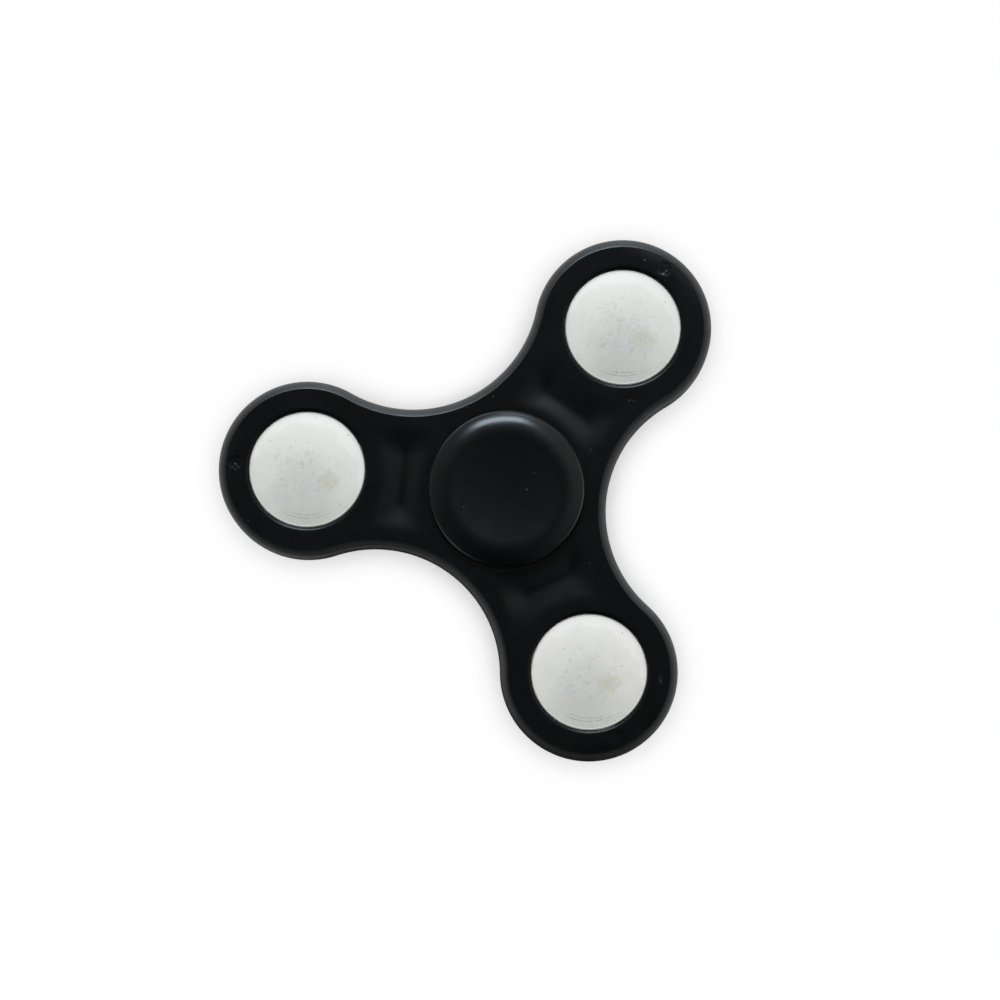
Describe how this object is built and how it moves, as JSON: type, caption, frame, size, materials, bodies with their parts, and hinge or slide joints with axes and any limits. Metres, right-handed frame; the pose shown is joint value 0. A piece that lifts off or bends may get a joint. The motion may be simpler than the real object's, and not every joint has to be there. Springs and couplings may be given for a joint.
{
  "type": "fidget spinner",
  "caption": "Hand spinner with rounded lobes that hold steel weights, turning on a central ball bearing between round dished finger pads.",
  "frame": {"origin": "centre of the bearing, on the spin axis and halfway through the thickness; it is also the centre of mass", "axes": "+Z along the spin axis, square to the body's flat faces; +Y towards the centre of the first lobe; +X across the widest part"},
  "size_m": [0.0754, 0.0688, 0.013],
  "materials": {
    "body_plastic": "moulded black, semi-gloss",
    "pad_plastic": "moulded black, satin",
    "weight_steel": "turned and plated, matt silver",
    "race_steel": "ground",
    "shield_steel": "pressed sheet",
    "cage_steel": "pressed sheet, oiled",
    "rivet_steel": "bright wire",
    "ball_steel": "polished"
  },
  "bodies": {
    "grip": {"finger_pad_top": "pad_plastic", "finger_pad_bottom": "pad_plastic", "inner_race": "race_steel"},
    "rotor": {"spinner_body": "body_plastic", "outer_race": "race_steel", "shield_top": "shield_steel", "shield_bottom": "shield_steel", "weight_1": "weight_steel", "weight_2": "weight_steel", "weight_3": "weight_steel"},
    "cage": {"cage_half_top": "cage_steel", "cage_half_bottom": "cage_steel", "cage_rivets": "rivet_steel"},
    "rolling_ball_1": {"ball_1": "ball_steel"},
    "rolling_ball_2": {"ball_2": "ball_steel"},
    "rolling_ball_3": {"ball_3": "ball_steel"},
    "rolling_ball_4": {"ball_4": "ball_steel"},
    "rolling_ball_5": {"ball_5": "ball_steel"},
    "rolling_ball_6": {"ball_6": "ball_steel"},
    "rolling_ball_7": {"ball_7": "ball_steel"}
  },
  "joints": [
    {"name": "rotor_spin", "type": "hinge", "parent": "grip", "child": "rotor", "pos_m": [0, 0, 0], "axis": [0, 0, 1], "continuous": true},
    {"name": "cage_orbit", "type": "hinge", "parent": "grip", "child": "cage", "pos_m": [0, 0, 0], "axis": [0, 0, 1], "continuous": true},
    {"name": "ball_1_roll", "type": "hinge", "parent": "cage", "child": "rolling_ball_1", "pos_m": [-0.00586, 0.00468, 0], "axis": [0, 0, 1], "continuous": true},
    {"name": "ball_2_roll", "type": "hinge", "parent": "cage", "child": "rolling_ball_2", "pos_m": [-0.00731, -0.00167, 0], "axis": [0, 0, 1], "continuous": true},
    {"name": "ball_3_roll", "type": "hinge", "parent": "cage", "child": "rolling_ball_3", "pos_m": [-0.00325, -0.00676, 0], "axis": [0, 0, 1], "continuous": true},
    {"name": "ball_4_roll", "type": "hinge", "parent": "cage", "child": "rolling_ball_4", "pos_m": [0.00325, -0.00676, 0], "axis": [0, 0, 1], "continuous": true},
    {"name": "ball_5_roll", "type": "hinge", "parent": "cage", "child": "rolling_ball_5", "pos_m": [0.00731, -0.00167, 0], "axis": [0, 0, 1], "continuous": true},
    {"name": "ball_6_roll", "type": "hinge", "parent": "cage", "child": "rolling_ball_6", "pos_m": [0.00586, 0.00468, 0], "axis": [0, 0, 1], "continuous": true},
    {"name": "ball_7_roll", "type": "hinge", "parent": "cage", "child": "rolling_ball_7", "pos_m": [0, 0.0075, 0], "axis": [0, 0, 1], "continuous": true}
  ],
  "couplings": [
    {"joint": "cage_orbit", "follows": "rotor_spin", "ratio": 0.6323},
    {"joint": "ball_1_roll", "follows": "rotor_spin", "ratio": 1.7573},
    {"joint": "ball_2_roll", "follows": "rotor_spin", "ratio": 1.7573},
    {"joint": "ball_3_roll", "follows": "rotor_spin", "ratio": 1.7573},
    {"joint": "ball_4_roll", "follows": "rotor_spin", "ratio": 1.7573},
    {"joint": "ball_5_roll", "follows": "rotor_spin", "ratio": 1.7573},
    {"joint": "ball_6_roll", "follows": "rotor_spin", "ratio": 1.7573},
    {"joint": "ball_7_roll", "follows": "rotor_spin", "ratio": 1.7573}
  ]
}
